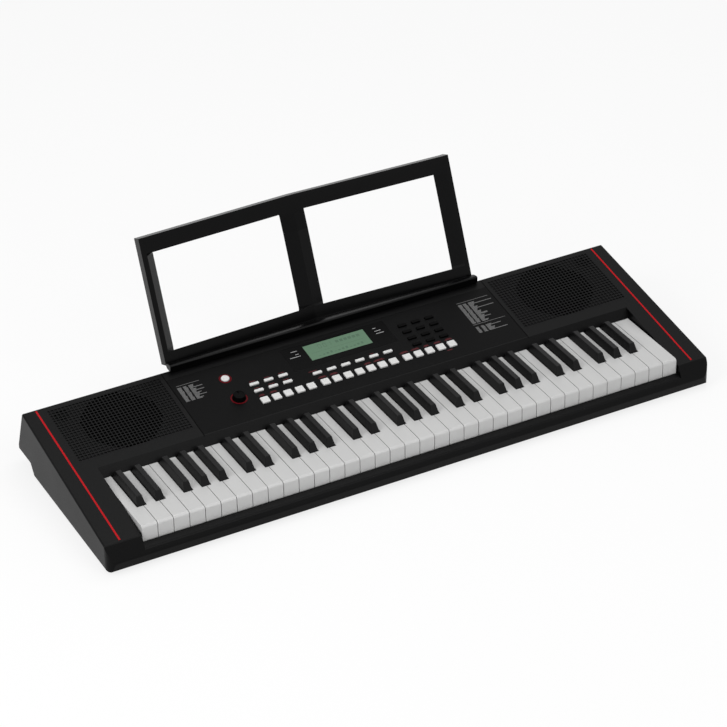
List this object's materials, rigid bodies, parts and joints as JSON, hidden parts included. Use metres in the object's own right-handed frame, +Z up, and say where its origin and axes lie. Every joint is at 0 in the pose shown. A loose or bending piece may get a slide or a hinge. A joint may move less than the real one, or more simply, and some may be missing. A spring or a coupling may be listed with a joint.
{
  "type": "arranger keyboard",
  "caption": "Portable arranger keyboard with full-size keys, a sloped control panel, a small display, a speaker grille at each end and a lift-off music rest.",
  "frame": {"origin": "on the surface that the feet stand on, under the middle of the whole outline", "axes": "+X along the keys to the high notes, +Y from the keys to the rear, +Z up"},
  "size_m": [0.9526, 0.4035, 0.2678],
  "materials": {
    "case_black": "fine satin grain",
    "panel_black": "fine satin grain",
    "key_white": "polished",
    "key_black": "satin",
    "trim_red": "satin red",
    "button_white": "satin",
    "button_black": "satin",
    "window_gloss": "polished",
    "lcd_glass": "unlit display, grey-green",
    "knob_black": "satin",
    "board_green": "solder mask",
    "switch_plastic": "plain",
    "steel": "zinc plated",
    "magnet_iron": "ferrite",
    "cone_paper": "paper pulp",
    "foam": "closed-cell foam",
    "rubber": "plain",
    "silicone": "silicone",
    "felt": "felt",
    "contact_brass": "plated",
    "chassis_plastic": "moulded",
    "cable": "flat cable",
    "rest_black": "satin"
  },
  "bodies": {
    "case": {"upper_case": "case_black", "lower_case": "case_black", "control_panel": "panel_black", "left_speaker_grille": "panel_black", "right_speaker_grille": "panel_black", "red_trim_inlays": "trim_red", "display_window": "window_gloss", "lcd_panel": "lcd_glass", "switch_board": "board_green", "push_switches": "switch_plastic", "volume_pot": "steel", "key_chassis": "chassis_plastic", "key_contact_boards": "board_green", "key_contact_rubber": "silicone", "key_stop_felts": "felt", "speaker_baskets": "steel", "speaker_cones": "cone_paper", "speaker_magnets": "magnet_iron", "speaker_gaskets": "foam", "main_board": "board_green", "socket_board": "board_green", "audio_jacks": "switch_plastic", "dc_inlet": "switch_plastic", "usb_socket": "steel", "battery_contacts": "contact_brass", "rubber_feet": "rubber", "case_screws": "steel", "inner_screws": "steel", "ribbon_cable": "cable"},
    "lower_natural_keys": {"lower_natural_keys": "key_white"},
    "lower_sharp_keys": {"lower_sharp_keys": "key_black"},
    "middle_c_key": {"middle_c_key": "key_white"},
    "middle_d_key": {"middle_d_key": "key_white"},
    "middle_e_key": {"middle_e_key": "key_white"},
    "middle_f_key": {"middle_f_key": "key_white"},
    "middle_g_key": {"middle_g_key": "key_white"},
    "middle_a_key": {"middle_a_key": "key_white"},
    "middle_b_key": {"middle_b_key": "key_white"},
    "middle_c_sharp_key": {"middle_c_sharp_key": "key_black"},
    "middle_d_sharp_key": {"middle_d_sharp_key": "key_black"},
    "middle_f_sharp_key": {"middle_f_sharp_key": "key_black"},
    "middle_g_sharp_key": {"middle_g_sharp_key": "key_black"},
    "middle_a_sharp_key": {"middle_a_sharp_key": "key_black"},
    "upper_natural_keys": {"upper_natural_keys": "key_white"},
    "upper_sharp_keys": {"upper_sharp_keys": "key_black"},
    "left_square_buttons": {"left_square_buttons": "button_white"},
    "middle_square_buttons": {"middle_square_buttons": "button_white"},
    "right_square_buttons": {"right_square_buttons": "button_white"},
    "middle_small_buttons": {"middle_small_buttons": "button_white"},
    "left_small_buttons": {"left_small_buttons": "button_white"},
    "number_buttons": {"number_buttons": "button_black"},
    "power_button": {"power_button": "button_white"},
    "music_rest": {"music_rest": "rest_black"},
    "battery_cover": {"battery_cover": "case_black"},
    "volume_knob": {"volume_knob": "knob_black", "volume_shaft": "steel"}
  },
  "joints": [
    {"name": "middle_c_key_press", "type": "hinge", "parent": "case", "child": "middle_c_key", "pos_m": [0, -0.01706, 0.044], "axis": [1, 0, 0], "range_deg": [0, 3.37], "stiffness_Nm_per_rad": 0.68, "springref_deg": -5.04},
    {"name": "middle_d_key_press", "type": "hinge", "parent": "case", "child": "middle_d_key", "pos_m": [0, -0.01706, 0.044], "axis": [1, 0, 0], "range_deg": [0, 3.37], "stiffness_Nm_per_rad": 0.68, "springref_deg": -5.04},
    {"name": "middle_e_key_press", "type": "hinge", "parent": "case", "child": "middle_e_key", "pos_m": [0, -0.01706, 0.044], "axis": [1, 0, 0], "range_deg": [0, 3.37], "stiffness_Nm_per_rad": 0.68, "springref_deg": -5.04},
    {"name": "middle_f_key_press", "type": "hinge", "parent": "case", "child": "middle_f_key", "pos_m": [0, -0.01706, 0.044], "axis": [1, 0, 0], "range_deg": [0, 3.37], "stiffness_Nm_per_rad": 0.68, "springref_deg": -5.04},
    {"name": "middle_g_key_press", "type": "hinge", "parent": "case", "child": "middle_g_key", "pos_m": [0, -0.01706, 0.044], "axis": [1, 0, 0], "range_deg": [0, 3.37], "stiffness_Nm_per_rad": 0.68, "springref_deg": -5.04},
    {"name": "middle_a_key_press", "type": "hinge", "parent": "case", "child": "middle_a_key", "pos_m": [0, -0.01706, 0.044], "axis": [1, 0, 0], "range_deg": [0, 3.37], "stiffness_Nm_per_rad": 0.68, "springref_deg": -5.04},
    {"name": "middle_b_key_press", "type": "hinge", "parent": "case", "child": "middle_b_key", "pos_m": [0, -0.01706, 0.044], "axis": [1, 0, 0], "range_deg": [0, 3.37], "stiffness_Nm_per_rad": 0.68, "springref_deg": -5.04},
    {"name": "middle_c_sharp_key_press", "type": "hinge", "parent": "case", "child": "middle_c_sharp_key", "pos_m": [0, -0.01706, 0.044], "axis": [1, 0, 0], "range_deg": [0, 3.37], "stiffness_Nm_per_rad": 0.68, "springref_deg": -5.04},
    {"name": "middle_d_sharp_key_press", "type": "hinge", "parent": "case", "child": "middle_d_sharp_key", "pos_m": [0, -0.01706, 0.044], "axis": [1, 0, 0], "range_deg": [0, 3.37], "stiffness_Nm_per_rad": 0.68, "springref_deg": -5.04},
    {"name": "middle_f_sharp_key_press", "type": "hinge", "parent": "case", "child": "middle_f_sharp_key", "pos_m": [0, -0.01706, 0.044], "axis": [1, 0, 0], "range_deg": [0, 3.37], "stiffness_Nm_per_rad": 0.68, "springref_deg": -5.04},
    {"name": "middle_g_sharp_key_press", "type": "hinge", "parent": "case", "child": "middle_g_sharp_key", "pos_m": [0, -0.01706, 0.044], "axis": [1, 0, 0], "range_deg": [0, 3.37], "stiffness_Nm_per_rad": 0.68, "springref_deg": -5.04},
    {"name": "middle_a_sharp_key_press", "type": "hinge", "parent": "case", "child": "middle_a_sharp_key", "pos_m": [0, -0.01706, 0.044], "axis": [1, 0, 0], "range_deg": [0, 3.37], "stiffness_Nm_per_rad": 0.68, "springref_deg": -5.04},
    {"name": "lower_natural_keys_press", "type": "hinge", "parent": "case", "child": "lower_natural_keys", "pos_m": [0, -0.01706, 0.044], "axis": [1, 0, 0], "range_deg": [0, 3.37], "stiffness_Nm_per_rad": 9.52, "springref_deg": -5.04},
    {"name": "lower_sharp_keys_press", "type": "hinge", "parent": "case", "child": "lower_sharp_keys", "pos_m": [0, -0.01706, 0.044], "axis": [1, 0, 0], "range_deg": [0, 3.37], "stiffness_Nm_per_rad": 6.8, "springref_deg": -5.04},
    {"name": "upper_natural_keys_press", "type": "hinge", "parent": "case", "child": "upper_natural_keys", "pos_m": [0, -0.01706, 0.044], "axis": [1, 0, 0], "range_deg": [0, 3.37], "stiffness_Nm_per_rad": 10.2, "springref_deg": -5.04},
    {"name": "upper_sharp_keys_press", "type": "hinge", "parent": "case", "child": "upper_sharp_keys", "pos_m": [0, -0.01706, 0.044], "axis": [1, 0, 0], "range_deg": [0, 3.37], "stiffness_Nm_per_rad": 6.8, "springref_deg": -5.04},
    {"name": "volume_turn", "type": "hinge", "parent": "case", "child": "volume_knob", "pos_m": [-0.1821, 0.0002, 0.07755], "axis": [0, -0.1711, 0.9853], "range_deg": [-150, 150]},
    {"name": "left_square_buttons_push", "type": "slide", "parent": "case", "child": "left_square_buttons", "axis": [0, 0.1711, -0.9853], "range_m": [0, 0.0012], "stiffness_N_per_m": 2000, "springref_m": -0.002},
    {"name": "middle_square_buttons_push", "type": "slide", "parent": "case", "child": "middle_square_buttons", "axis": [0, 0.1711, -0.9853], "range_m": [0, 0.0012], "stiffness_N_per_m": 2800, "springref_m": -0.002},
    {"name": "right_square_buttons_push", "type": "slide", "parent": "case", "child": "right_square_buttons", "axis": [0, 0.1711, -0.9853], "range_m": [0, 0.0012], "stiffness_N_per_m": 2000, "springref_m": -0.002},
    {"name": "middle_small_buttons_push", "type": "slide", "parent": "case", "child": "middle_small_buttons", "axis": [0, 0.1711, -0.9853], "range_m": [0, 0.0012], "stiffness_N_per_m": 2400, "springref_m": -0.002},
    {"name": "left_small_buttons_push", "type": "slide", "parent": "case", "child": "left_small_buttons", "axis": [0, 0.1711, -0.9853], "range_m": [0, 0.0012], "stiffness_N_per_m": 2400, "springref_m": -0.002},
    {"name": "number_buttons_push", "type": "slide", "parent": "case", "child": "number_buttons", "axis": [0, 0.1711, -0.9853], "range_m": [0, 0.0012], "stiffness_N_per_m": 4800, "springref_m": -0.002},
    {"name": "power_button_push", "type": "slide", "parent": "case", "child": "power_button", "axis": [0, 0.1711, -0.9853], "range_m": [0, 0.0012], "stiffness_N_per_m": 400, "springref_m": -0.002},
    {"name": "music_rest_lift", "type": "slide", "parent": "case", "child": "music_rest", "axis": [0, 0, 1], "range_m": [0, 0.03]},
    {"name": "battery_cover_off", "type": "slide", "parent": "case", "child": "battery_cover", "axis": [0, 0, -1], "range_m": [0, 0.03]}
  ]
}
